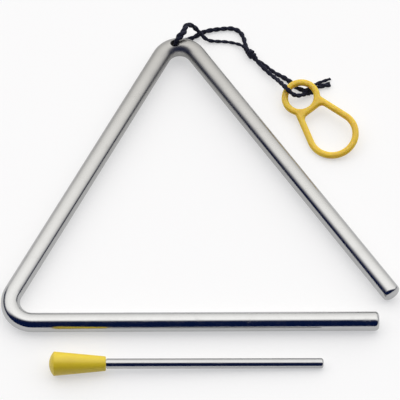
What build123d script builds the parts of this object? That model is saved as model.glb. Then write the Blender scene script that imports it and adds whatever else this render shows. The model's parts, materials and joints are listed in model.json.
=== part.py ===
from build123d import *
import os
from math import asin, atan, cos, degrees, pi, radians, sin, sqrt, tan

# A triangle instrument on a looped cord with a finger loop, and its beater, lying on a table.
# Layout frame, in millimetres: the lower bar's axis runs along +X from the left corner, +Y points
# to the apex and the table top is Z = 0. At the end all pieces move together, so that the origin
# is on the table below the middle of the rigid pieces.

# Bent steel rod: side lengths run between the corners where the axes of two sides would meet
ROD_DIAMETER = 8.0
BAR_LENGTH = 158.1
LEFT_SIDE = 159.0
RIGHT_LENGTH = 156.3
LEFT_ANGLE = 61.8
APEX_ANGLE = 63.0
LEFT_BEND_RADIUS = 9.4
APEX_BEND_RADIUS = 8.8
ROD_END_ROUNDING = 1.7

# Suspension hole, drilled square to the triangle's plane a little left of the apex bend's middle
HOLE_DIAMETER = 2.6
COUNTERSINK_DIAMETER = 4.2
HOLE_TURN = 9.3

# Twisted cord, which lies on the table and props the apex up where it passes below the rod
CORD_DIAMETER = 1.6
TAIL_PLY_DIAMETER = 1.1
CORD_LIFT = 0.05
ROD_ON_CORD_GAP = 0.2
STRAND_SPREAD = 1.8
ARC_SHARE = 0.45

# Cord routes: X and Y from the hole's centre, Z from the table
ROUTE_FROM_HOLE_TOP = [
    (1.3, 1.35, 12.0),
    (3.6, 4.4, 12.0),
    (5.7, 8.7, 10.6),
    (8.4, 10.4, 7.4),
    (11.0, 8.8, 3.6),
    (13.9, 7.0, 1.3),
    (17.6, 6.5, 0.9),
    (22.2, 6.4, 0.85),
    (26.2, 5.4, 1.0),
]
ROUTE_FROM_HOLE_BOTTOM = [
    (0.82, 0.66, 0.85),
    (3.2, 2.9, 0.85),
    (6.7, 7.0, 0.85),
    (11.2, 10.7, 0.85),
    (15.6, 11.9, 0.85),
    (20.3, 12.5, 0.85),
    (25.0, 12.8, 0.85),
    (28.3, 11.1, 0.85),
    (29.8, 7.6, 1.0),
]
ROUTE_OVER_RIM = [
    (42.0, -11.1, 2.0),
    (44.2, -14.4, 3.4),
    (46.0, -18.3, 5.6),
    (48.0, -21.8, 7.2),
    (50.4, -24.2, 6.2),
    (53.0, -23.5, 3.6),
    (56.6, -21.4, 2.1),
]
ROUTE_UNDER_RIM = [
    (43.6, -10.5, 0.95),
    (47.0, -12.5, 0.85),
    (50.2, -15.2, 0.85),
    (52.6, -18.1, 1.0),
    (56.2, -19.8, 1.9),
]
ROUTE_LONG_TAIL = [
    (58.4, -19.0, 2.4),
    (60.4, -16.9, 2.3),
    (63.3, -14.9, 1.2),
    (67.1, -13.1, 0.65),
]
ROUTE_SHORT_TAIL = [
    (58.8, -20.0, 1.8),
    (61.4, -18.6, 1.5),
    (64.1, -17.3, 0.95),
    (66.7, -16.3, 0.85),
]
HOLE_TOP_RISE = 4.5
HOLE_BOTTOM_DROP = 3.9
STRAND_LEAD = 2.6
STRAND_ROLL = -50.0

# Knots: start point and heading from the hole, then the bulge of each wrap along the knot
MIDDLE_KNOT_START = (31.1, 1.3)
MIDDLE_KNOT_HEADING = -52.0
MIDDLE_KNOT_LENGTH = 10.2
MIDDLE_KNOT_WRAPS = (1.55, 1.75, 1.7, 1.5, 1.3)
END_KNOT_START = (54.9, -20.7)
END_KNOT_HEADING = 10.0
END_KNOT_LENGTH = 5.4
END_KNOT_WRAPS = (1.75, 2.0, 1.75)
WRAP_GROOVE = 0.25
KNOT_END_RADIUS = 1.1

# Moulded finger loop: a small eye for the cord and a pear-shaped bow for a finger
LOOP_WIDTH = 2.8
LOOP_THICKNESS = 2.6
LOOP_EDGE_ROUNDING = 1.2
EYE_RADIUS = 6.9
BOW_RADIUS = 9.85
BOW_OFFSET = 21.97
BOW_SIDE_TAPER = 16.3
NOTCH_RADIUS = 1.6
BOW_CORNER_RADIUS = 2.0
EYE_FROM_HOLE = (54.04, -24.61)
LOOP_HEADING = -53.1
LOOP_PITCH = 2.9
LOOP_ROLL = 10.7

# Beater: a straight steel rod, whose turned shank is pressed into a tapered plastic grip
BEATER_ROD_DIAMETER = 4.2
BEATER_LENGTH = 112.0
BEATER_TIP_ROUNDING = 0.9
SHANK_DIAMETER = 3.6
SHANK_RELIEF = 0.3
GRIP_LENGTH = 23.2
GRIP_BUTT_DIAMETER = 10.0
GRIP_NECK_DIAMETER = 6.0
GRIP_DOME_HEIGHT = 2.0
GRIP_BORE_DEPTH = 17.0
GRIP_NECK_ROUNDING = 0.5
BEATER_START = (22.9, -19.3)
BEATER_HEADING = 0.6

# Values worked out from the sizes above
rod_radius = ROD_DIAMETER / 2
cord_radius = CORD_DIAMETER / 2
apex_corner = Vector(LEFT_SIDE, 0).rotate(Axis.Z, LEFT_ANGLE)
right_heading = LEFT_ANGLE - 180 + APEX_ANGLE
bend_outward = LEFT_ANGLE + APEX_ANGLE / 2
apex_bend_centre = apex_corner - Vector(
    APEX_BEND_RADIUS / sin(radians(APEX_ANGLE / 2)), 0
).rotate(Axis.Z, bend_outward)
hole_in_rod = apex_bend_centre + Vector(APEX_BEND_RADIUS, 0).rotate(Axis.Z, bend_outward + HOLE_TURN)
prop_height = CORD_DIAMETER + CORD_LIFT + ROD_ON_CORD_GAP
prop_angle = degrees(asin(prop_height / hole_in_rod.Y))
rod_frame = Pos(0, 0, rod_radius) * Rot(X=prop_angle)
hole_frame = rod_frame * Pos(hole_in_rod.X, hole_in_rod.Y, 0)


def along_hole(height):
    """Point on the hole's axis, by its height above the rod's axis."""
    return (hole_frame * Pos(0, 0, height)).position


def from_hole(points):
    """Cord points given from the hole's centre, in the layout frame."""
    centre = hole_frame.position
    return [Vector(centre.X + x, centre.Y + y, z) for x, y, z in points]


def cord_tube(name, points, diameter):
    """Round cord along straight runs that are joined by the largest tangent arcs they allow."""
    runs = [after - before for before, after in zip(points, points[1:])]
    radii = []
    for before, after in zip(runs, runs[1:]):
        half_turn = radians(before.get_angle(after)) / 2
        radii.append(ARC_SHARE * min(before.length, after.length) / tan(half_turn))
    path = FilletPolyline(*points, radius=radii)
    section = Plane(origin=path @ 0, z_dir=path % 0) * Circle(diameter / 2)
    tube = sweep(section, path=path)
    straight_volume = pi * diameter**2 / 4 * path.length
    print(f"{name}: length {path.length:.1f}, volume ratio {tube.volume / straight_volume:.4f}")
    print("  arc radii", [round(radius, 1) for radius in radii])
    return tube


def make_triangle_rod():
    """Bent rod with rounded ends, drilled and countersunk at the apex."""
    bar_end = Vector(BAR_LENGTH, 0)
    right_end = apex_corner + Vector(RIGHT_LENGTH, 0).rotate(Axis.Z, right_heading)
    bends = [LEFT_BEND_RADIUS, APEX_BEND_RADIUS]
    path = FilletPolyline(bar_end, Vector(0, 0), apex_corner, right_end, radius=bends)
    section = Plane(origin=path @ 0, z_dir=path % 0) * Circle(rod_radius)
    rod = sweep(section, path=path)
    end_faces = [rod.faces().sort_by_distance(end)[0] for end in (bar_end, right_end)]
    rod = fillet([edge for face in end_faces for edge in face.edges()], ROD_END_ROUNDING)
    hole_place = Pos(hole_in_rod.X, hole_in_rod.Y, 0)
    rod -= hole_place * Cylinder(HOLE_DIAMETER / 2, 2 * ROD_DIAMETER)
    depth = (COUNTERSINK_DIAMETER - HOLE_DIAMETER) / 2
    mouth = Cone(HOLE_DIAMETER / 2, COUNTERSINK_DIAMETER / 2 + depth, 2 * depth)
    rod -= hole_place * Pos(0, 0, rod_radius) * mouth
    rod -= hole_place * Pos(0, 0, -rod_radius) * Rot(X=180) * mouth
    return rod_frame * rod


def make_knot(length, wraps):
    """Knot along +X: one rounded bulge for each wrap, with flat ends where the strands meet it."""
    pitch = length / len(wraps)
    valleys = [min(pair) - WRAP_GROOVE for pair in zip(wraps, wraps[1:])]
    rims = [KNOT_END_RADIUS, *valleys, KNOT_END_RADIUS]
    outline = []
    for index, bulge in enumerate(wraps):
        start = (index * pitch, rims[index])
        crest = ((index + 0.5) * pitch, bulge)
        end = ((index + 1) * pitch, rims[index + 1])
        outline.append(ThreePointArc(start, crest, end))
    outline.append(Polyline((length, KNOT_END_RADIUS), (length, 0), (0, 0), (0, KNOT_END_RADIUS)))
    return revolve(make_face(Curve() + outline), axis=Axis.X)


def knot_frame(start, heading, wraps):
    """Place of a knot that lies on the table."""
    centre = hole_frame.position
    return Pos(centre.X + start[0], centre.Y + start[1], max(wraps) + CORD_LIFT) * Rot(Z=heading)


def knot_strand(frame, x, side):
    """Point at a knot's end face, for one of two strands that lie a half turn apart round its axis."""
    return (frame * Rot(X=STRAND_ROLL) * Pos(x, side * STRAND_SPREAD / 2, 0)).position


def make_finger_loop():
    """Moulded loop in its own plane, with the eye at the origin and the bow along +X."""
    half_width = LOOP_WIDTH / 2
    web_edge = EYE_RADIUS + half_width
    taper = radians(BOW_SIDE_TAPER)

    def bow(radius):
        """Pear outline: a round end and two sides that run tangent from it, in to the eye."""
        touch = Vector(BOW_OFFSET - radius * sin(taper), radius * cos(taper))
        inner = Vector(0, touch.Y - touch.X * tan(taper))
        touch_below = Vector(touch.X, -touch.Y)
        inner_below = Vector(inner.X, -inner.Y)
        round_end = ThreePointArc(touch, (BOW_OFFSET + radius, 0), touch_below)
        sides = Polyline(touch_below, inner_below, inner, touch)
        return make_face(Curve() + [round_end, sides])

    outside = Circle(EYE_RADIUS + half_width) + bow(BOW_RADIUS + half_width)
    notches = [corner for corner in outside.vertices() if corner.X < EYE_RADIUS + LOOP_WIDTH]
    outside = fillet(notches, NOTCH_RADIUS)
    web = Rectangle(2 * web_edge, 2 * BOW_RADIUS, align=(Align.MAX, Align.CENTER))
    opening = bow(BOW_RADIUS - half_width) - Pos(web_edge, 0) * web
    corners = [corner for corner in opening.vertices() if corner.X < EYE_RADIUS + LOOP_WIDTH]
    opening = fillet(corners, BOW_CORNER_RADIUS)
    profile = outside - opening - Circle(EYE_RADIUS - half_width)
    loop = extrude(profile, LOOP_THICKNESS / 2, both=True)
    flat_faces = loop.faces().filter_by(Axis.Z)
    loop = fillet([edge for face in flat_faces for edge in face.edges()], LOOP_EDGE_ROUNDING)
    return loop


def lay_finger_loop(loop):
    """The finger loop where it lies: on one side of its bow, with its other side on the end knot."""
    centre = hole_frame.position
    turned = Rot(Z=LOOP_HEADING) * Rot(Y=LOOP_PITCH) * Rot(X=LOOP_ROLL) * loop
    lowest = turned.bounding_box().min.Z
    return Pos(centre.X + EYE_FROM_HOLE[0], centre.Y + EYE_FROM_HOLE[1], -lowest) * turned


def beater_frame():
    """Place of the beater, whose axis slopes from the grip's shoulder down to the tip."""
    shoulder = GRIP_BUTT_DIAMETER / 2
    tip = BEATER_ROD_DIAMETER / 2
    reach = BEATER_LENGTH - BEATER_TIP_ROUNDING - GRIP_DOME_HEIGHT
    slope = atan((shoulder - tip) / reach)
    start_height = shoulder * cos(slope) + GRIP_DOME_HEIGHT * sin(slope)
    return Pos(*BEATER_START, start_height) * Rot(Z=BEATER_HEADING) * Rot(Y=degrees(slope))


def make_beater_rod():
    """Straight rod along +X: a shank in the grip's bore, then the bare shaft to the rounded tip."""
    shank_start = GRIP_LENGTH - GRIP_BORE_DEPTH
    shaft_start = GRIP_LENGTH + SHANK_RELIEF
    from_base = (Align.CENTER, Align.CENTER, Align.MIN)
    shank = Cylinder(SHANK_DIAMETER / 2, shaft_start - shank_start, align=from_base)
    shaft = Cylinder(BEATER_ROD_DIAMETER / 2, BEATER_LENGTH - shaft_start, align=from_base)
    shaft = fillet(shaft.faces().sort_by(Axis.Z)[-1].edges(), BEATER_TIP_ROUNDING)
    return Pos(shank_start, 0, 0) * Rot(Y=90) * shank + Pos(shaft_start, 0, 0) * Rot(Y=90) * shaft


def make_beater_grip():
    """Tapered grip along +X with a domed butt and a blind bore for the rod."""
    butt = GRIP_BUTT_DIAMETER / 2
    neck = GRIP_NECK_DIAMETER / 2
    dome_radius = (butt**2 + GRIP_DOME_HEIGHT**2) / (2 * GRIP_DOME_HEIGHT)
    dome_middle = (dome_radius - sqrt(dome_radius**2 - butt**2 / 4), butt / 2)
    dome = ThreePointArc((0, 0), dome_middle, (GRIP_DOME_HEIGHT, butt))
    outline = Polyline((GRIP_DOME_HEIGHT, butt), (GRIP_LENGTH, neck), (GRIP_LENGTH, 0), (0, 0))
    grip = revolve(make_face(Curve() + [dome, outline]), axis=Axis.X)
    grip = fillet(grip.faces().sort_by(Axis.X)[-1].edges(), GRIP_NECK_ROUNDING)
    from_mouth = (Align.CENTER, Align.CENTER, Align.MAX)
    bore = Cylinder(SHANK_DIAMETER / 2, GRIP_BORE_DEPTH, align=from_mouth)
    return grip - Pos(GRIP_LENGTH, 0, 0) * Rot(Y=90) * bore


def make_pieces():
    """All pieces in the layout frame, by node name."""
    middle = knot_frame(MIDDLE_KNOT_START, MIDDLE_KNOT_HEADING, MIDDLE_KNOT_WRAPS)
    end = knot_frame(END_KNOT_START, END_KNOT_HEADING, END_KNOT_WRAPS)
    end_knot = end * make_knot(END_KNOT_LENGTH, END_KNOT_WRAPS)
    beater = beater_frame()

    loop_route = [
        knot_strand(middle, 0, -1),
        knot_strand(middle, -STRAND_LEAD, -1),
        *reversed(from_hole(ROUTE_FROM_HOLE_TOP)),
        along_hole(HOLE_TOP_RISE),
        along_hole(-HOLE_BOTTOM_DROP),
        *from_hole(ROUTE_FROM_HOLE_BOTTOM),
        knot_strand(middle, -STRAND_LEAD, 1),
        knot_strand(middle, 0, 1),
    ]
    over_route = [
        knot_strand(middle, MIDDLE_KNOT_LENGTH, -1),
        knot_strand(middle, MIDDLE_KNOT_LENGTH + STRAND_LEAD, -1),
        *from_hole(ROUTE_OVER_RIM),
    ]
    under_route = [
        knot_strand(middle, MIDDLE_KNOT_LENGTH, 1),
        knot_strand(middle, MIDDLE_KNOT_LENGTH + STRAND_LEAD, 1),
        *from_hole(ROUTE_UNDER_RIM),
    ]
    long_tail = cord_tube("cord_tail_long", from_hole(ROUTE_LONG_TAIL), TAIL_PLY_DIAMETER)
    short_tail = cord_tube("cord_tail_short", from_hole(ROUTE_SHORT_TAIL), CORD_DIAMETER)
    return {
        "triangle_rod": make_triangle_rod(),
        "hanging_cord_loop": cord_tube("hanging_cord_loop", loop_route, CORD_DIAMETER),
        "middle_knot": middle * make_knot(MIDDLE_KNOT_LENGTH, MIDDLE_KNOT_WRAPS),
        "ring_cord_over": cord_tube("ring_cord_over", over_route, CORD_DIAMETER) - end_knot,
        "ring_cord_under": cord_tube("ring_cord_under", under_route, CORD_DIAMETER) - end_knot,
        "end_knot": end_knot,
        "cord_tail_long": long_tail - end_knot,
        "cord_tail_short": short_tail - end_knot,
        "finger_loop": lay_finger_loop(make_finger_loop()),
        "beater_rod": beater * make_beater_rod(),
        "beater_grip": beater * make_beater_grip(),
    }


RIGID_PIECES = ("triangle_rod", "finger_loop", "beater_rod", "beater_grip")
pieces = make_pieces()
box = Compound([pieces[name] for name in RIGID_PIECES]).bounding_box()
to_origin = Pos(-box.center().X, -box.center().Y, 0)
os.makedirs("parts", exist_ok=True)
for name, piece in pieces.items():
    export_step(to_origin * piece, f"parts/{name}.step")
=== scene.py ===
"""Looks of a triangle instrument with its knotted cord, finger loop and beater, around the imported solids."""
import json
import math

import bpy
from mathutils import Matrix, Vector


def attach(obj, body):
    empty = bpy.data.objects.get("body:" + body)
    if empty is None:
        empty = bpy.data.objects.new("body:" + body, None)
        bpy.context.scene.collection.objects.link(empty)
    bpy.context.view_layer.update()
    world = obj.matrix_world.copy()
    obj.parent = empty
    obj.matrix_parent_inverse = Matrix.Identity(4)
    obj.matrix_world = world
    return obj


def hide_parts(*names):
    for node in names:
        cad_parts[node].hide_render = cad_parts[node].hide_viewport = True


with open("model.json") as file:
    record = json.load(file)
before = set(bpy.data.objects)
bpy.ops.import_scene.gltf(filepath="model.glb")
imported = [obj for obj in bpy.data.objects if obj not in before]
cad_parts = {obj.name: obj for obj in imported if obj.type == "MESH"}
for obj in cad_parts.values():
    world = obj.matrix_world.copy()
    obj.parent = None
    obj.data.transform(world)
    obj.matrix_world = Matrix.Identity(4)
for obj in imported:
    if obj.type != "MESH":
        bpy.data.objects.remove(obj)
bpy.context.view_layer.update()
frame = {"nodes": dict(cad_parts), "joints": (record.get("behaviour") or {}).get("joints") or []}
scene = bpy.context.scene
scene.view_settings.view_transform = "Standard"

FULL_TURN = 2 * math.pi

# Camera, as the photograph was taken: sizes in metres and degrees, the focal length in its pixels
PHOTO_SIZE = 400
FOCAL_PIXELS = 2780.6
SENSOR_MILLIMETRES = 36
CLIP_START = 0.02
CLIP_END = 50
VIEW_TARGET = Vector((0.0000749, 0.0013615, 0.004))
VIEW_DISTANCE = 1.1709
VIEW_ELEVATION = 61.0
VIEW_ROLL = -0.2306


def place_camera():
    """Camera above the lower bar's side of the table, turned a little about its own line of sight."""
    data = bpy.data.cameras.new("photo_camera")
    data.sensor_width = SENSOR_MILLIMETRES
    data.lens = FOCAL_PIXELS / PHOTO_SIZE * data.sensor_width
    data.clip_start = CLIP_START
    data.clip_end = CLIP_END
    rise = math.radians(VIEW_ELEVATION)
    roll = math.radians(VIEW_ROLL)
    back = Vector((0, -math.cos(rise), math.sin(rise)))
    level = Vector((1, 0, 0))
    upright = back.cross(level)
    right = math.cos(roll) * level + math.sin(roll) * upright
    up = math.cos(roll) * upright - math.sin(roll) * level
    turn = Matrix((right, up, back)).transposed().to_4x4()
    camera = bpy.data.objects.new("photo_camera", data)
    camera.matrix_world = Matrix.Translation(VIEW_TARGET + VIEW_DISTANCE * back) @ turn
    scene.collection.objects.link(camera)
    scene.camera = camera


place_camera()

# Cord, in metres: its stated diameter, the plied diameter at thickness 1, each ply's share of that,
# the length of one twist along the stretches and in the knots, and the steps of the drawn lines
PLIED_DIAMETER = 0.00182
PLIES = 2
PLY_SHARE = 0.66
PLY_SIDES = 10
CORD_PITCH = 0.0062
KNOT_PITCH = 0.005
LINE_STEP = 0.00022
SPLINE_ORDER = 3
SPLINE_STEPS = 16

# Cord routes in millimetres: X and Y from the suspension hole's centre, Z from the table.
# Each list of thickness has a share of the plied diameter for every point of its route.
HOLE = Vector(next(joint["pos_m"] for joint in frame["joints"] if joint["name"] == "cord_swing"))
HANGING_LOOP_ROUTE = [
    (31.6, 0.6, 2.0),
    (30.8, 1.6, 2.1),
    (29.2, 3.4, 1.9),
    (26.4, 5.0, 1.05),
    (22.2, 6.05, 0.85),
    (17.6, 6.15, 0.9),
    (13.9, 6.4, 1.3),
    (11.0, 8.4, 3.6),
    (7.9, 10.1, 7.4),
    (4.8, 8.8, 10.8),
    (4.0, 4.1, 12.0),
    (1.9, 1.5, 12.1),
    (0.1, 0.0, 10.4),
    (0.0, 0.0, 1.95),
    (0.6, 1.1, 0.9),
    (2.0, 4.4, 0.9),
    (4.2, 7.3, 0.95),
    (7.0, 7.4, 1.1),
    (10.0, 9.3, 1.16),
    (12.6, 11.0, 1.13),
    (15.9, 11.9, 1.1),
    (20.3, 12.5, 1.06),
    (25.0, 12.8, 1.1),
    (28.3, 11.1, 1.12),
    (30.0, 7.6, 1.12),
    (30.5, 4.0, 1.3),
    (31.3, 1.7, 1.5),
    (32.2, 0.5, 1.6),
]
HANGING_LOOP_THICKNESS = [
    0.86, 0.85, 0.82, 0.82, 0.84, 0.86, 0.95, 1.12, 1.25, 1.25, 1.58, 1.68, 1.12, 0.98,
    0.97, 0.97, 1.04, 1.18, 1.22, 1.2, 1.15, 1.1, 1.18, 1.18, 1.17, 1.14, 1.02, 0.9,
]
OVER_RIM_ROUTE = [
    (36.4, -5.9, 2.0),
    (37.4, -7.1, 2.2),
    (38.8, -9.0, 2.3),
    (41.4, -11.6, 2.0),
    (43.9, -14.75, 3.3),
    (46.0, -18.4, 5.6),
    (48.0, -21.8, 7.2),
    (50.4, -24.2, 6.2),
    (53.0, -23.5, 3.6),
    (56.6, -21.4, 2.1),
    (58.8, -19.6, 1.8),
    (60.6, -18.2, 1.6),
    (62.5, -17.25, 1.3),
    (64.5, -16.7, 1.22),
    (66.85, -16.2, 1.22),
]
OVER_RIM_THICKNESS = [
    0.95, 1.1, 1.1, 1.02, 1.06, 1.14, 1.18, 1.14, 1.1, 1.06, 1.05, 1.1, 1.2, 1.27, 1.3,
]
UNDER_RIM_ROUTE = [
    (36.9, -5.1, 1.5),
    (38.4, -6.0, 1.4),
    (40.2, -7.5, 1.1),
    (43.6, -10.5, 0.95),
    (47.0, -12.5, 1.12),
    (50.2, -15.2, 1.18),
    (52.6, -18.1, 1.18),
    (56.2, -19.8, 1.9),
    (58.4, -19.0, 2.4),
    (60.4, -16.9, 2.3),
    (63.3, -14.9, 1.2),
    (67.1, -13.1, 0.75),
]
UNDER_RIM_THICKNESS = [0.95, 1.05, 0.9, 1.0, 1.2, 1.26, 1.2, 1.1, 0.98, 0.9, 0.84, 0.75]

# Knots, about as in the solids: start from the hole, height and heading, in millimetres and degrees
MIDDLE_KNOT = {"start": (31.1, 1.3), "height": 2.03, "heading": -52.0}
END_KNOT = {"start": (54.9, -20.7), "height": 2.05, "heading": 10.0}
POINTS_PER_TURN = 14
FEWEST_STEPS = 3

# Strands of a knot: where each starts and ends along it, its turns and first angle, and along the
# strand its distances from the knot's axis and its thickness
CORE_RADII = (0.45, 0.45, 0.5, 0.42, 0.42, 0.5)
CORE_THICKNESS = (0.88, 0.9, 0.92, 0.88, 0.88, 0.9)
MIDDLE_KNOT_STRANDS = [
    (-0.6, 9.7, 1.78, 150, CORE_RADII, CORE_THICKNESS),
    (-0.6, 9.7, 1.78, -30, CORE_RADII, CORE_THICKNESS),
    (0.3, 5.8, 2.3, 20, (0.2, 1.0, 1.25, 1.2, 0.9, 0.2), (0.65, 0.9, 0.95, 0.95, 0.88, 0.6)),
    (0.6, 6.2, 2.3, 200, (0.2, 1.0, 1.25, 1.1, 0.7, 0.2), (0.65, 0.9, 0.95, 0.94, 0.86, 0.6)),
]
END_KNOT_THICKNESS = (0.75, 0.93, 0.96, 0.93, 0.75)
END_KNOT_STRANDS = [
    (0.1, 4.9, 2.2, 200, (0.3, 1.05, 1.2, 1.05, 0.3), END_KNOT_THICKNESS),
    (0.5, 5.3, 2.2, 20, (0.3, 1.05, 1.15, 1.0, 0.3), END_KNOT_THICKNESS),
]


def from_hole(points):
    """Route points in the row frame, in metres."""
    return [Vector((HOLE.x + x / 1000, HOLE.y + y / 1000, z / 1000)) for x, y, z in points]


def spline_points(name, control_points):
    """Points along a smooth spline with the given control points, read from the spline itself."""
    curve = bpy.data.curves.new(name, "CURVE")
    curve.dimensions = "3D"
    spline = curve.splines.new("NURBS")
    spline.points.add(len(control_points) - 1)
    for place, point in zip(spline.points, control_points):
        place.co = (*point, 1)
    spline.order_u = SPLINE_ORDER
    spline.use_endpoint_u = True
    spline.resolution_u = SPLINE_STEPS
    holder = bpy.data.objects.new(name, curve)
    scene.collection.objects.link(holder)
    depsgraph = bpy.context.evaluated_depsgraph_get()
    line = bpy.data.meshes.new_from_object(holder.evaluated_get(depsgraph))
    points = [vertex.co.copy() for vertex in line.vertices]
    bpy.data.objects.remove(holder)
    bpy.data.curves.remove(curve)
    bpy.data.meshes.remove(line)
    return points


def read_along(values, share):
    """A value between the evenly spaced ones of a list, at a share of the way along it."""
    place = share * (len(values) - 1)
    low = min(int(place), len(values) - 2)
    return values[low] + (values[low + 1] - values[low]) * (place - low)


def wrap_points(knot, first, last, turns, phase, radii):
    """Control points of one strand that winds round a knot's axis between two distances along it."""
    heading = math.radians(knot["heading"])
    along = Vector((math.cos(heading), math.sin(heading), 0))
    aside = Vector((-along.y, along.x, 0))
    upward = Vector((0, 0, 1))
    start = Vector((*knot["start"], knot["height"]))
    count = max(FEWEST_STEPS, round(abs(turns) * POINTS_PER_TURN)) + 1
    points = []
    for index in range(count):
        share = index / (count - 1)
        angle = math.radians(phase) + FULL_TURN * turns * share
        outward = math.cos(angle) * aside + math.sin(angle) * upward
        distance = first + (last - first) * share
        points.append(start + distance * along + read_along(radii, share) * outward)
    return from_hole(points)


def line_length(points):
    """Length of a line through points."""
    return sum((after - before).length for before, after in zip(points, points[1:]))


def spread_thickness(points, route, values):
    """Thickness at each point of a line, from the values given at its route's control points."""
    marks = [0.0]
    for before, after in zip(route, route[1:]):
        marks.append(marks[-1] + (after - before).length)
    total = line_length(points)
    gone = 0.0
    spread = []
    low = 0
    for index, point in enumerate(points):
        if index:
            gone += (point - points[index - 1]).length
        mark = gone / total * marks[-1]
        while low < len(marks) - 2 and marks[low + 1] < mark:
            low += 1
        share = min(1.0, max(0.0, (mark - marks[low]) / (marks[low + 1] - marks[low])))
        spread.append(values[low] + (values[low + 1] - values[low]) * share)
    return spread


def add(tree, kind, values=None, **settings):
    """A node with its settings and input values; a value that is a socket is joined to the input."""
    node = tree.nodes.new(kind)
    for name, setting in settings.items():
        setattr(node, name, setting)
    for name, value in (values or {}).items():
        if isinstance(value, bpy.types.NodeSocket):
            tree.links.new(value, node.inputs[name])
        else:
            node.inputs[name].default_value = value
    return node


def math_node(tree, operation, first, second=0.0):
    """Result of an operation on two numbers, or on the first alone where it takes one."""
    return add(tree, "ShaderNodeMath", {0: first, 1: second}, operation=operation).outputs[0]


def vector_node(tree, operation, first, second):
    """Result of an operation on two vectors, or of a vector scaled by a number."""
    name = "Scale" if operation == "SCALE" else 1
    return add(tree, "ShaderNodeVectorMath", {0: first, name: second}, operation=operation).outputs[0]


def store_attribute(tree, geometry, name, value, kind):
    """A geometry that keeps a value at each of its points under a name."""
    return add(
        tree,
        "GeometryNodeStoreNamedAttribute",
        {"Geometry": geometry, "Name": name, "Value": value},
        data_type=kind,
        domain="POINT",
    ).outputs[0]


def make_twisted_cord_tree():
    """Node tree that winds plies round each line of a mesh, by the line's own thickness attribute."""
    tree = bpy.data.node_groups.new("twisted_cord", "GeometryNodeTree")
    tree.is_modifier = True
    sockets = tree.interface
    sockets.new_socket("Lines", in_out="INPUT", socket_type="NodeSocketGeometry")
    for name in ("Cord Diameter", "Ply Share", "Twist Pitch"):
        sockets.new_socket(name, in_out="INPUT", socket_type="NodeSocketFloat")
    sockets.new_socket("Finish", in_out="INPUT", socket_type="NodeSocketMaterial")
    sockets.new_socket("Cord", in_out="OUTPUT", socket_type="NodeSocketGeometry")
    given = tree.nodes.new("NodeGroupInput").outputs

    line = add(tree, "GeometryNodeMeshToCurve", {"Mesh": given["Lines"]}).outputs[0]
    steps = {"Curve": line, "Length": LINE_STEP}
    line = add(tree, "GeometryNodeResampleCurve", steps, mode="LENGTH").outputs[0]
    line = add(tree, "GeometryNodeSetCurveNormal", {"Curve": line}, mode="MINIMUM_TWIST").outputs[0]
    length = tree.nodes.new("GeometryNodeSplineParameter").outputs["Length"]
    line = store_attribute(tree, line, "along", length, "FLOAT")
    named = {"Name": "thickness"}
    thickness = add(tree, "GeometryNodeInputNamedAttribute", named, data_type="FLOAT").outputs[0]
    normal = tree.nodes.new("GeometryNodeInputNormal").outputs[0]
    tangent = tree.nodes.new("GeometryNodeInputTangent").outputs[0]
    aside = vector_node(tree, "CROSS_PRODUCT", tangent, normal)
    twists = math_node(tree, "DIVIDE", length, given["Twist Pitch"])
    turn = math_node(tree, "MULTIPLY", twists, FULL_TURN)
    ply_diameter = math_node(tree, "MULTIPLY", given["Cord Diameter"], given["Ply Share"])
    ply_radius = math_node(tree, "MULTIPLY", ply_diameter, 0.5)
    room_aside = math_node(tree, "SUBTRACT", given["Cord Diameter"], ply_diameter)
    centre_radius = math_node(tree, "MULTIPLY", room_aside, 0.5)
    reach = math_node(tree, "MULTIPLY", centre_radius, thickness)

    section = {"Resolution": PLY_SIDES, "Radius": ply_radius}
    circle = add(tree, "GeometryNodeCurvePrimitiveCircle", section, mode="RADIUS").outputs[0]
    share = tree.nodes.new("GeometryNodeSplineParameter").outputs["Factor"]
    round_angle = math_node(tree, "MULTIPLY", share, FULL_TURN)
    place = {"X": math_node(tree, "COSINE", round_angle), "Y": math_node(tree, "SINE", round_angle)}
    around = add(tree, "ShaderNodeCombineXYZ", place).outputs[0]
    profile = store_attribute(tree, circle, "around", around, "FLOAT_VECTOR")

    plies = tree.nodes.new("GeometryNodeJoinGeometry")
    for ply in range(PLIES):
        angle = math_node(tree, "ADD", turn, ply * FULL_TURN / PLIES)
        over = math_node(tree, "MULTIPLY", math_node(tree, "COSINE", angle), reach)
        up = math_node(tree, "MULTIPLY", math_node(tree, "SINE", angle), reach)
        sideways = vector_node(tree, "SCALE", normal, over)
        upward = vector_node(tree, "SCALE", aside, up)
        offset = vector_node(tree, "ADD", sideways, upward)
        moved = add(tree, "GeometryNodeSetPosition", {"Geometry": line, "Offset": offset}).outputs[0]
        tube = add(
            tree,
            "GeometryNodeCurveToMesh",
            {"Curve": moved, "Profile Curve": profile, "Scale": thickness, "Fill Caps": True},
        ).outputs[0]
        tree.links.new(tube, plies.inputs[0])
    smooth = add(tree, "GeometryNodeSetShadeSmooth", {"Geometry": plies.outputs[0]}).outputs[0]
    solid = add(tree, "GeometryNodeRealizeInstances", {"Geometry": smooth}).outputs[0]
    covered = {"Geometry": solid, "Material": given["Finish"]}
    finished = add(tree, "GeometryNodeSetMaterial", covered).outputs[0]
    result = tree.nodes.new("NodeGroupOutput")
    tree.links.new(finished, result.inputs[0])
    return tree


twisted_cord_tree = make_twisted_cord_tree()


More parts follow.
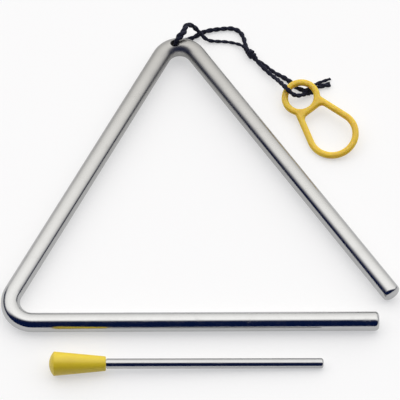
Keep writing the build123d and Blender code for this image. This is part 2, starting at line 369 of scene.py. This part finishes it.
def make_twisted_piece(name, lines, finish, pitch):
    """One mesh piece of plied cord along one or more lines, each with its thickness at every point."""
    mesh = bpy.data.meshes.new(name)
    places = [point for points, _ in lines for point in points]
    edges = []
    first = 0
    for points, _ in lines:
        edges += [(first + index, first + index + 1) for index in range(len(points) - 1)]
        first += len(points)
    mesh.from_pydata(places, edges, [])
    thickness = mesh.attributes.new("thickness", "FLOAT", "POINT")
    thickness.data.foreach_set("value", [value for _, values in lines for value in values])
    holder = bpy.data.objects.new(name + "_lines", mesh)
    scene.collection.objects.link(holder)
    modifier = holder.modifiers.new("twisted_cord", "NODES")
    modifier.node_group = twisted_cord_tree
    wanted = {
        "Cord Diameter": PLIED_DIAMETER,
        "Ply Share": PLY_SHARE,
        "Twist Pitch": pitch,
        "Finish": finish,
    }
    for item in twisted_cord_tree.interface.items_tree:
        if item.in_out == "INPUT" and item.name in wanted:
            modifier[item.identifier] = wanted[item.name]
    depsgraph = bpy.context.evaluated_depsgraph_get()
    cord_mesh = bpy.data.meshes.new_from_object(
        holder.evaluated_get(depsgraph), preserve_all_data_layers=True, depsgraph=depsgraph
    )
    cord_mesh.name = name
    piece = bpy.data.objects.new(name, cord_mesh)
    scene.collection.objects.link(piece)
    bpy.data.objects.remove(holder)
    bpy.data.meshes.remove(mesh)
    return piece


def new_finish(name):
    """A new material with one Principled shader: the material, its tree and the shader."""
    material = bpy.data.materials.new(name)
    material.use_nodes = True
    tree = material.node_tree
    tree.nodes.clear()
    shader = tree.nodes.new("ShaderNodeBsdfPrincipled")
    result = tree.nodes.new("ShaderNodeOutputMaterial")
    tree.links.new(shader.outputs[0], result.inputs[0])
    return material, tree, shader


def set_plain(shader, **values):
    """Values that are the same all over a surface, on the shader's own sockets."""
    for name, value in values.items():
        shader.inputs[name.replace("_", " ")].default_value = value


def new_group(name, size_name, size, output_name):
    """A shader node group with a position and a size as its inputs, and one output."""
    tree = bpy.data.node_groups.new(name, "ShaderNodeTree")
    tree.interface.new_socket("Position", in_out="INPUT", socket_type="NodeSocketVector")
    socket = tree.interface.new_socket(size_name, in_out="INPUT", socket_type="NodeSocketFloat")
    socket.default_value = size
    tree.interface.new_socket(output_name, in_out="OUTPUT", socket_type="NodeSocketFloat")
    given = tree.nodes.new("NodeGroupInput").outputs
    per_size = math_node(tree, "DIVIDE", 1.0, given[size_name])
    place = vector_node(tree, "SCALE", given["Position"], per_size)
    return tree, place, tree.nodes.new("NodeGroupOutput").inputs[output_name]


def noise_node(tree, place, **values):
    """Soft noise at a place, with its settings by name."""
    return add(tree, "ShaderNodeTexNoise", {"Vector": place, **values}).outputs[0]


def soft_step(tree, value, low, high, start=0.0, end=1.0):
    """A smooth change from start to end while a value goes from low to high."""
    return add(
        tree,
        "ShaderNodeMapRange",
        {"Value": value, "From Min": low, "From Max": high, "To Min": start, "To Max": end},
        interpolation_type="SMOOTHSTEP",
    ).outputs[0]


def make_patches_group():
    """Soft-edged patches of a given size, for finger marks, dull places and uneven colour."""
    tree, place, result = new_group("handling_patches", "Patch Size", 0.01, "Mask")
    noise = noise_node(tree, place, Scale=1.0, Detail=3.0, Roughness=0.55, Distortion=0.4)
    tree.links.new(soft_step(tree, noise, low=0.42, high=0.7), result)
    return tree


# Hairlines: the turn of each set in radians, and how it is stretched
HAIRLINE_SETS = [((0.3, 0.1, 0.5), (0.05, 1.0, 1.0)), ((0.2, 0.4, -0.9), (0.07, 1.3, 1.3))]


def make_scratches_group():
    """Broken hairlines in two directions, as cleaning cloths leave them."""
    tree, place, result = new_group("hairline_scratches", "Spacing", 0.001, "Mask")
    layers = []
    for turn, stretch in HAIRLINE_SETS:
        lie = {"Vector": place, "Rotation": turn, "Scale": stretch}
        noise = noise_node(tree, add(tree, "ShaderNodeMapping", lie).outputs[0], Scale=1.0, Detail=1.0)
        off_line = math_node(tree, "ABSOLUTE", math_node(tree, "SUBTRACT", noise, 0.5))
        line = soft_step(tree, off_line, low=0.0, high=0.03, start=1.0, end=0.0)
        gaps = soft_step(tree, noise_node(tree, place, Scale=0.21, Detail=1.0), low=0.48, high=0.62)
        layers.append(math_node(tree, "MULTIPLY", line, gaps))
    tree.links.new(math_node(tree, "MAXIMUM", *layers), result)
    return tree


def make_grain_group():
    """Fine uneven surface of a given grain size, as plating or a moulded skin has."""
    tree, place, result = new_group("surface_grain", "Grain Size", 0.0005, "Height")
    tree.links.new(noise_node(tree, place, Scale=1.0, Detail=2.0, Roughness=0.5), result)
    return tree


patches_group = make_patches_group()
scratches_group = make_scratches_group()
grain_group = make_grain_group()


def use_group(tree, group, position, **values):
    """One placing of a shared group, with its values by name, and its only output."""
    node = tree.nodes.new("ShaderNodeGroup")
    node.node_tree = group
    tree.links.new(position, node.inputs["Position"])
    for name, value in values.items():
        node.inputs[name.replace("_", " ")].default_value = value
    return node.outputs[0]


def multiply_add(tree, first, second, third):
    """First times second, plus third."""
    values = {0: first, 1: second, 2: third}
    return add(tree, "ShaderNodeMath", values, operation="MULTIPLY_ADD").outputs[0]


def weighted_sum(tree, start, *terms):
    """A start value plus each mask times its weight."""
    total = start
    for mask, weight in terms:
        total = multiply_add(tree, mask, weight, total)
    return total


def blend(tree, share, first, second):
    """Colour between two, each a plain colour or another blend."""
    first, second = ((*colour, 1) if isinstance(colour, tuple) else colour for colour in (first, second))
    return add(tree, "ShaderNodeMix", {0: share, 6: first, 7: second}, data_type="RGBA").outputs[2]


def raise_surface(tree, shader, height, depth, strength):
    """Bump of a given depth on a shader, from a height between 0 and 1."""
    lift = {"Height": height, "Distance": depth, "Strength": strength}
    tree.links.new(add(tree, "ShaderNodeBump", lift).outputs[0], shader.inputs["Normal"])


# Plating: its tints, the darker and warmer one painting shade into the reflections towards the far bend, and
# the places across the table between which that painted shade and a rougher finish come in, in metres
PLATING = (0.452, 0.456, 0.457)
PAINTED_SHADE_PLATING = (0.32, 0.316, 0.305)
BEATER_PLATING = (0.41, 0.413, 0.415)
WORN_PLATING = (0.34, 0.34, 0.33)
NEAR_BAR = -0.06
HALF_WAY = 0.0
FAR_BEND = 0.08


def make_chrome(name, tint, painted_shade_tint, roughness):
    """Polished plating with hairlines and finger marks, rougher towards the far bend, where its tint is also
    darker and warmer as painted shade that dims its reflections.
    """
    material, tree, shader = new_finish(name)
    set_plain(shader, Metallic=1.0)
    position = tree.nodes.new("ShaderNodeTexCoord").outputs["Object"]
    marks = use_group(tree, patches_group, position, Patch_Size=0.011)
    scratches = use_group(tree, scratches_group, position, Spacing=0.0009)
    ripple = use_group(tree, grain_group, position, Grain_Size=0.008)
    fine = use_group(tree, grain_group, position, Grain_Size=0.0007)
    across = add(tree, "ShaderNodeSeparateXYZ", {0: position}).outputs["Y"]
    stretch = {"Value": across, "From Min": NEAR_BAR, "From Max": FAR_BEND}
    far = add(tree, "ShaderNodeMapRange", stretch).outputs[0]
    # Towards the far bend the tint is blended darker and warmer: painted shade that dims the reflections there
    colour = blend(tree, far, tint, painted_shade_tint)
    wear = weighted_sum(tree, 0.0, (scratches, 0.13), (marks, 0.1))
    tree.links.new(blend(tree, wear, colour, WORN_PLATING), shader.inputs["Base Color"])
    bend = soft_step(tree, across, HALF_WAY, FAR_BEND)
    rough = weighted_sum(tree, roughness, (marks, 0.05), (scratches, 0.1), (bend, 0.18))
    tree.links.new(rough, shader.inputs["Roughness"])
    height = weighted_sum(tree, 0.0, (ripple, 1.0), (fine, 0.04), (scratches, -0.035))
    raise_surface(tree, shader, height, depth=0.00002, strength=0.6)
    return material


# Plastics: colours, and how far light goes into them, in metres and by colour
LOOP_YELLOW = (0.79, 0.555, 0.035)
DEEP_LOOP_YELLOW = (0.71, 0.48, 0.027)
GRIP_YELLOW = (0.76, 0.58, 0.022)
DEEP_GRIP_YELLOW = (0.7, 0.5, 0.02)
INNER_LIGHT_DEPTH = 0.0025
INNER_LIGHT_REACH = (1.0, 0.85, 0.15)


def make_plastic(name, colour, deep_colour, roughness, grain_size, inner_light):
    """Moulded plastic that lets some light in, with a fine skin, uneven colour and rubbed places."""
    material, tree, shader = new_finish(name)
    set_plain(shader, Coat_Weight=0.08, Coat_Roughness=0.25)
    set_plain(shader, Subsurface_Weight=inner_light, Subsurface_Radius=INNER_LIGHT_REACH)
    set_plain(shader, Subsurface_Scale=INNER_LIGHT_DEPTH)
    position = tree.nodes.new("ShaderNodeTexCoord").outputs["Object"]
    uneven = use_group(tree, patches_group, position, Patch_Size=0.007)
    rubbed = use_group(tree, patches_group, position, Patch_Size=0.0028)
    scratches = use_group(tree, scratches_group, position, Spacing=0.0011)
    skin = use_group(tree, grain_group, position, Grain_Size=grain_size)
    shares = weighted_sum(tree, 0.0, (uneven, 0.4), (skin, 0.2), (scratches, 0.1))
    tree.links.new(blend(tree, shares, colour, deep_colour), shader.inputs["Base Color"])
    rough = weighted_sum(tree, roughness, (rubbed, 0.1), (scratches, 0.1))
    tree.links.new(rough, shader.inputs["Roughness"])
    height = weighted_sum(tree, 0.0, (skin, 1.0), (scratches, -0.4))
    raise_surface(tree, shader, height, depth=0.00003, strength=0.5)
    return material


# Thread: its colours, which along the yarns also paint highlights on the crests and shade in the grooves, and
# the yarns that each ply is spun from
DARK_THREAD_AND_GROOVE_SHADE = (0.0062, 0.007, 0.0155)
PALE_THREAD_AND_CREST_HIGHLIGHT = (0.02, 0.0215, 0.044)
YARNS_ROUND_PLY = 5
YARN_PITCH = 0.0021


def make_cord_finish(name):
    """Black spun thread: yarns aslant along each ply, by the ply's own attributes, with loose fuzz; the yarns
    are also coloured paler on their crests and darker in their grooves, as painted highlight and shade.
    """
    material, tree, shader = new_finish(name)
    set_plain(shader, Specular_IOR_Level=0.15, Sheen_Weight=0.06, Sheen_Roughness=0.5)
    round_ply = add(tree, "ShaderNodeAttribute", attribute_name="around").outputs["Vector"]
    parts = add(tree, "ShaderNodeSeparateXYZ", {0: round_ply}).outputs
    angle = math_node(tree, "ARCTAN2", parts["Y"], parts["X"])
    along = add(tree, "ShaderNodeAttribute", attribute_name="along").outputs["Fac"]
    slant = math_node(tree, "MULTIPLY", along, FULL_TURN / YARN_PITCH)
    phase = multiply_add(tree, angle, float(YARNS_ROUND_PLY), slant)
    yarn = weighted_sum(tree, 0.5, (math_node(tree, "SINE", phase), 0.5))
    position = tree.nodes.new("ShaderNodeTexCoord").outputs["Object"]
    fuzz = use_group(tree, grain_group, position, Grain_Size=0.00012)
    worn = use_group(tree, patches_group, position, Patch_Size=0.004)
    # The paler colour follows the yarn bump: painted highlight on the crests and painted shade in the grooves,
    # beside the fuzz and worn places that are the thread's own uneven colour
    shares = weighted_sum(tree, 0.0, (yarn, 0.45), (fuzz, 0.35), (worn, 0.25))
    tree.links.new(blend(tree, shares, DARK_THREAD_AND_GROOVE_SHADE, PALE_THREAD_AND_CREST_HIGHLIGHT), shader.inputs["Base Color"])
    rough = weighted_sum(tree, 0.75, (worn, 0.1), (fuzz, 0.1))
    tree.links.new(rough, shader.inputs["Roughness"])
    height = weighted_sum(tree, 0.0, (yarn, 1.0), (fuzz, 0.5))
    raise_surface(tree, shader, height, depth=0.00006, strength=0.8)
    return material


cord_finish = make_cord_finish("black_twisted_cord")


def make_cord(name, route, values, node_names):
    """A stretch of cord along its route, in place of its solids."""
    control_points = from_hole(route)
    points = spline_points(name + "_route", control_points)
    thickness = spread_thickness(points, control_points, values)
    piece = make_twisted_piece(name, [(points, thickness)], cord_finish, CORD_PITCH)
    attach(piece, "cord")
    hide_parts(*node_names)


def make_knot(name, knot, strands, node_name):
    """A knot of wound strands, in place of its solid."""
    lines = []
    for first, last, turns, phase, radii, values in strands:
        winding = wrap_points(knot, first, last, turns, phase, radii)
        points = spline_points(name + "_strand", winding)
        thickness = [read_along(values, index / (len(points) - 1)) for index in range(len(points))]
        lines.append((points, thickness))
    piece = make_twisted_piece(name, lines, cord_finish, KNOT_PITCH)
    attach(piece, "cord")
    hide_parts(node_name)
    return piece


middle_knot = make_knot("middle_knot_wraps", MIDDLE_KNOT, MIDDLE_KNOT_STRANDS, "middle_knot")
end_knot = make_knot("end_knot_wraps", END_KNOT, END_KNOT_STRANDS, "end_knot")
make_cord(
    "hanging_cord",
    HANGING_LOOP_ROUTE,
    HANGING_LOOP_THICKNESS,
    ["hanging_cord_loop"],
)
make_cord(
    "cord_over_eye",
    OVER_RIM_ROUTE,
    OVER_RIM_THICKNESS,
    ["ring_cord_over", "cord_tail_short"],
)
make_cord(
    "cord_under_eye",
    UNDER_RIM_ROUTE,
    UNDER_RIM_THICKNESS,
    ["ring_cord_under", "cord_tail_long"],
)

rod_chrome = make_chrome("polished_chrome_rod", PLATING, PAINTED_SHADE_PLATING, roughness=0.14)
beater_chrome = make_chrome("polished_chrome_beater", BEATER_PLATING, PAINTED_SHADE_PLATING, roughness=0.15)
loop_plastic = make_plastic(
    "moulded_yellow_loop", LOOP_YELLOW, DEEP_LOOP_YELLOW, roughness=0.4, grain_size=0.0004, inner_light=0.6
)
grip_plastic = make_plastic(
    "moulded_yellow_grip", GRIP_YELLOW, DEEP_GRIP_YELLOW, roughness=0.38, grain_size=0.00045, inner_light=0.0
)
for node_name, finish in (
    ("triangle_rod", rod_chrome),
    ("beater_rod", beater_chrome),
    ("finger_loop", loop_plastic),
    ("beater_grip", grip_plastic),
):
    node = frame["nodes"][node_name]
    node.data.materials.clear()
    node.data.materials.append(finish)

# Table top: half its width and its height in metres, its white, and the share of pure white in what is seen
FLOOR_HALF = 4.0
FLOOR_HEIGHT = -0.00002
FLOOR_WHITE = (0.97, 0.97, 0.97, 1)
FLOOR_LIFT = 0.5


def make_floor():
    """White table top that takes the object's shadow, lifted a little for the camera and in reflections."""
    mesh = bpy.data.meshes.new("table_top")
    signs = [(-1, -1), (1, -1), (1, 1), (-1, 1)]
    corners = [(x * FLOOR_HALF, y * FLOOR_HALF, FLOOR_HEIGHT) for x, y in signs]
    mesh.from_pydata(corners, [], [(0, 1, 2, 3)])
    material, tree, shader = new_finish("white_table")
    set_plain(shader, Base_Color=FLOOR_WHITE, Roughness=0.9, Specular_IOR_Level=0.0)
    ray = tree.nodes.new("ShaderNodeLightPath").outputs
    seen = math_node(tree, "ADD", ray["Is Camera Ray"], ray["Is Glossy Ray"])
    seen = math_node(tree, "ADD", seen, ray["Is Transmission Ray"])
    seen = math_node(tree, "MINIMUM", seen, 1.0)
    glow = add(tree, "ShaderNodeEmission", {"Color": (1, 1, 1, 1), "Strength": 1.0})
    mix = add(tree, "ShaderNodeMixShader", {0: math_node(tree, "MULTIPLY", seen, FLOOR_LIFT)})
    tree.links.new(shader.outputs[0], mix.inputs[1])
    tree.links.new(glow.outputs[0], mix.inputs[2])
    result = next(node for node in tree.nodes if node.type == "OUTPUT_MATERIAL")
    tree.links.new(mix.outputs[0], result.inputs[0])
    mesh.materials.append(material)
    floor = bpy.data.objects.new("table_top", mesh)
    scene.collection.objects.link(floor)


# Soft light: the direction of its middle, how squarely a direction faces it where its edge starts and
# ends, how much wider it is at the sides, and its strength at table level and gain overhead
LIGHT_CENTRE = (0.04, 0.974, 0.218)
LIGHT_EDGE_START = -0.135
LIGHT_EDGE_END = 0.265
SIDE_WIDENING = 0.08
LEVEL_STRENGTH = 1.095
OVERHEAD_GAIN = 0.876
LIGHT_COLOUR = (1.0, 0.985, 0.965)
ROOM_COLOUR = (0.003, 0.012, 0.07)

# Dark cards beside the light: side, how far aside each starts, and the heights between which it fades
DARK_CARDS = [(-1, 0.6, 0.2, 0.56), (1, 0.68, 0.05, 0.38)]
CARD_EDGE = 0.16


def light_studio():
    """A wide white soft light above and behind the object, brightest overhead, with a dark card at either
    side, in a dark blue room."""
    world = bpy.data.worlds.new("studio")
    world.use_nodes = True
    tree = world.node_tree
    tree.nodes.clear()
    direction = tree.nodes.new("ShaderNodeTexCoord").outputs["Generated"]
    pair = {0: direction, 1: LIGHT_CENTRE}
    facing = add(tree, "ShaderNodeVectorMath", pair, operation="DOT_PRODUCT").outputs["Value"]
    parts = add(tree, "ShaderNodeSeparateXYZ", {0: direction}).outputs
    aside = math_node(tree, "MULTIPLY", parts["X"], parts["X"])
    facing = weighted_sum(tree, facing, (aside, SIDE_WIDENING))
    lit = soft_step(tree, facing, LIGHT_EDGE_START, LIGHT_EDGE_END)
    for side, inner, low, high in DARK_CARDS:
        outward = math_node(tree, "MULTIPLY", parts["X"], side)
        beside = soft_step(tree, outward, inner, inner + CARD_EDGE)
        below = soft_step(tree, parts["Z"], low, high, start=1.0, end=0.0)
        open_share = math_node(tree, "SUBTRACT", 1.0, math_node(tree, "MULTIPLY", beside, below))
        lit = math_node(tree, "MULTIPLY", lit, open_share)
    strength = weighted_sum(tree, LEVEL_STRENGTH, (parts["Z"], OVERHEAD_GAIN))
    glow = vector_node(tree, "SCALE", LIGHT_COLOUR, strength)
    colour = blend(tree, lit, ROOM_COLOUR, glow)
    background = add(tree, "ShaderNodeBackground", {"Color": colour, "Strength": 1.0})
    result = tree.nodes.new("ShaderNodeOutputWorld")
    tree.links.new(background.outputs[0], result.inputs[0])
    scene.world = world


make_floor()
light_studio()
